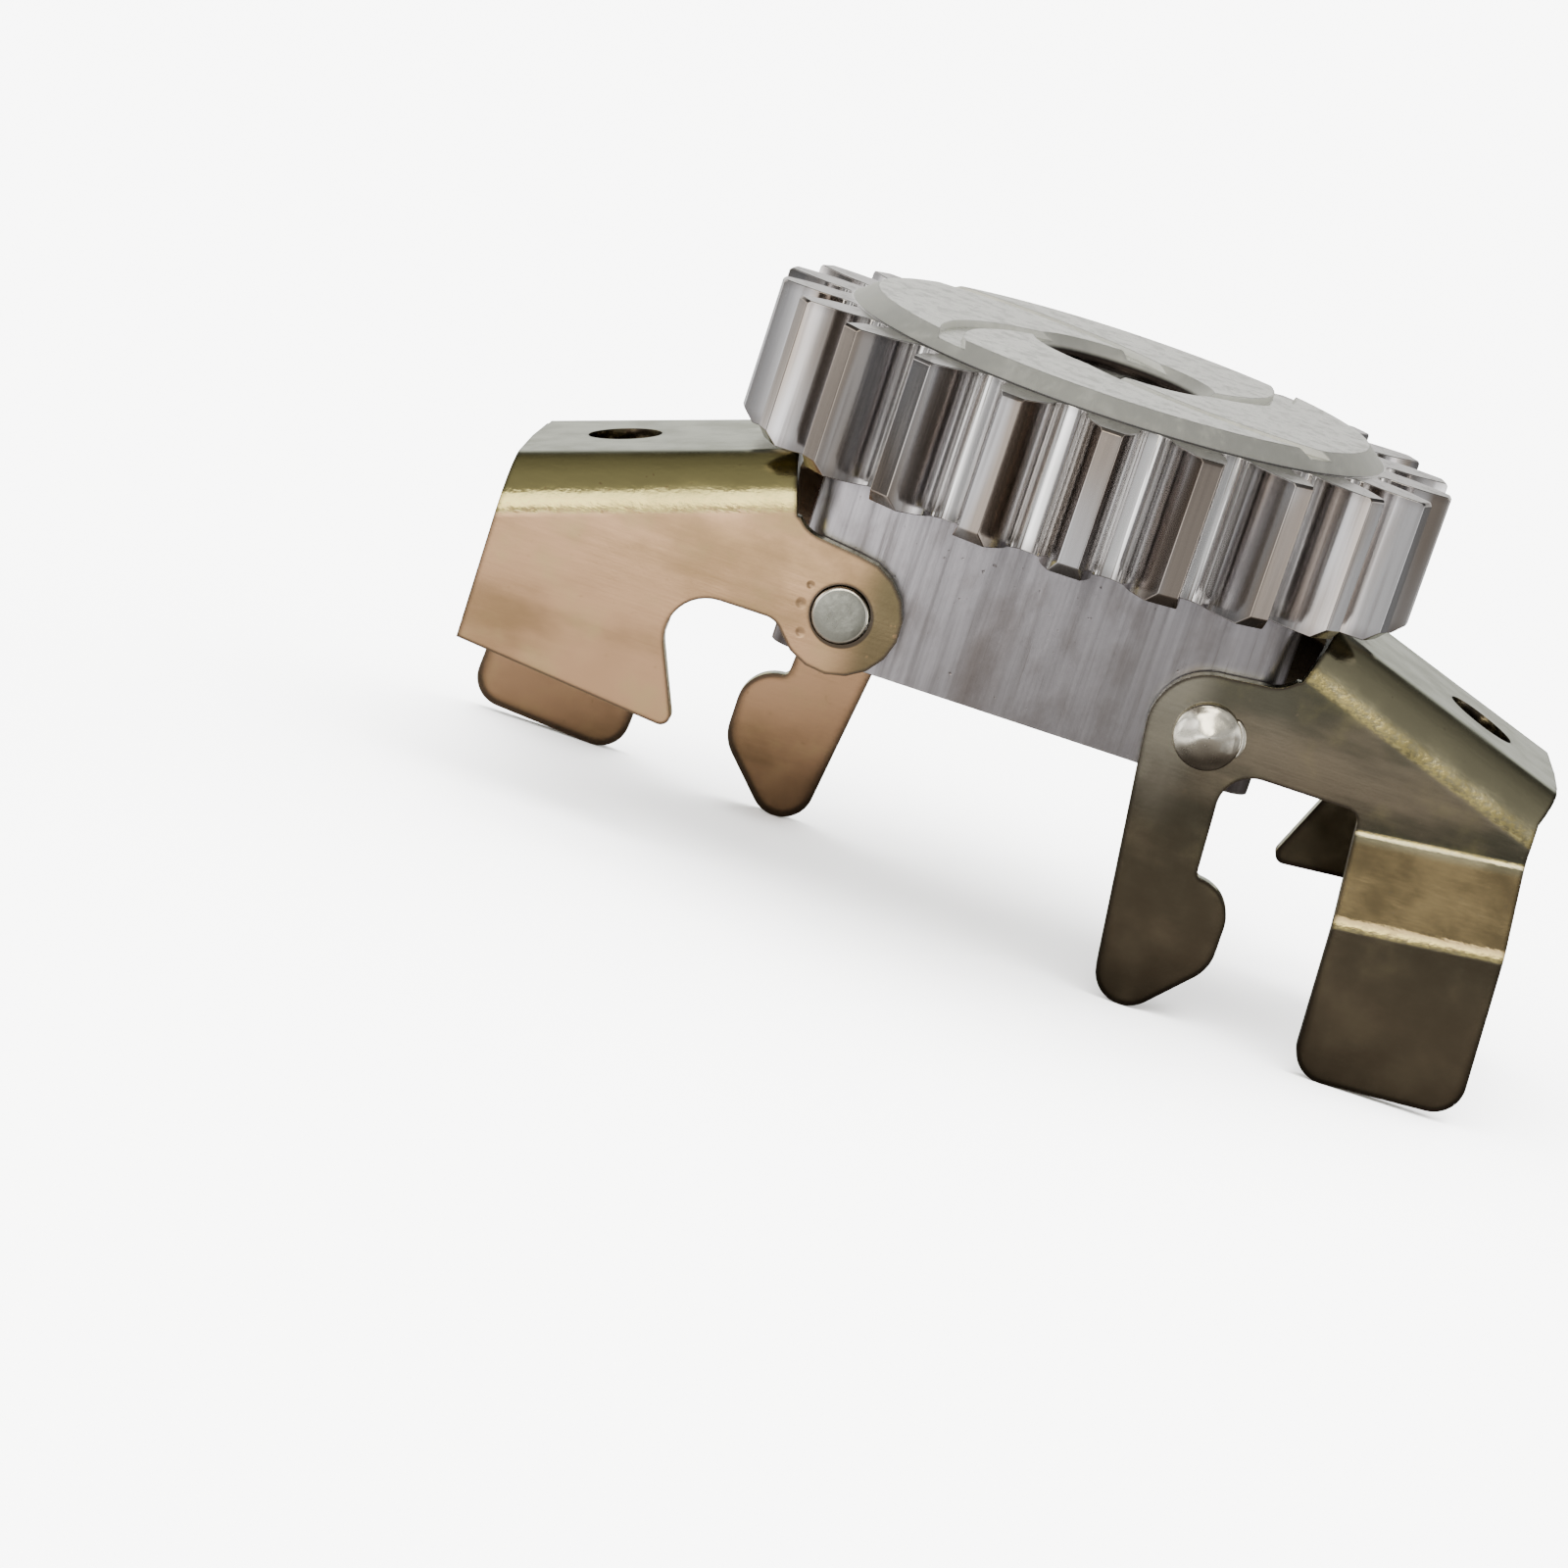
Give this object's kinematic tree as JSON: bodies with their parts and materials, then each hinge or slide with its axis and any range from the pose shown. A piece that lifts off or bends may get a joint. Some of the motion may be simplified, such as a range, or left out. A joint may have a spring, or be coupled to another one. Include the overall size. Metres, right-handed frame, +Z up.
{
  "type": "governor gear",
  "caption": "Spur gear with a carrier block under it and folded sheet flyweights that swing out on pins to work an engine's speed governor.",
  "frame": {"origin": "on the gear's axis, at the level on which the flyweights' feet and fingers stand", "axes": "+Z up the gear's axis to its hub face, X across the two flyweights, Y along the pins"},
  "size_m": [0.0742, 0.048, 0.0402],
  "materials": {
    "sintered_steel": "sintered, machined on its face",
    "plated_sheet": "yellow passivated zinc",
    "pin_steel": "bright drawn"
  },
  "bodies": {
    "gear": {"governor_gear": "sintered_steel", "right_pivot_pin": "pin_steel", "left_pivot_pin": "pin_steel"},
    "right_weight": {"right_flyweight": "plated_sheet"},
    "left_weight": {"left_flyweight": "plated_sheet"}
  },
  "joints": [
    {"name": "right_swing", "type": "hinge", "parent": "gear", "child": "right_weight", "pos_m": [0.01295, 0, 0.0195], "axis": [0, 1, 0], "range_deg": [0, 71]},
    {"name": "left_swing", "type": "hinge", "parent": "gear", "child": "left_weight", "pos_m": [-0.01295, 0, 0.0195], "axis": [0, -1, 0], "range_deg": [0, 71]}
  ]
}
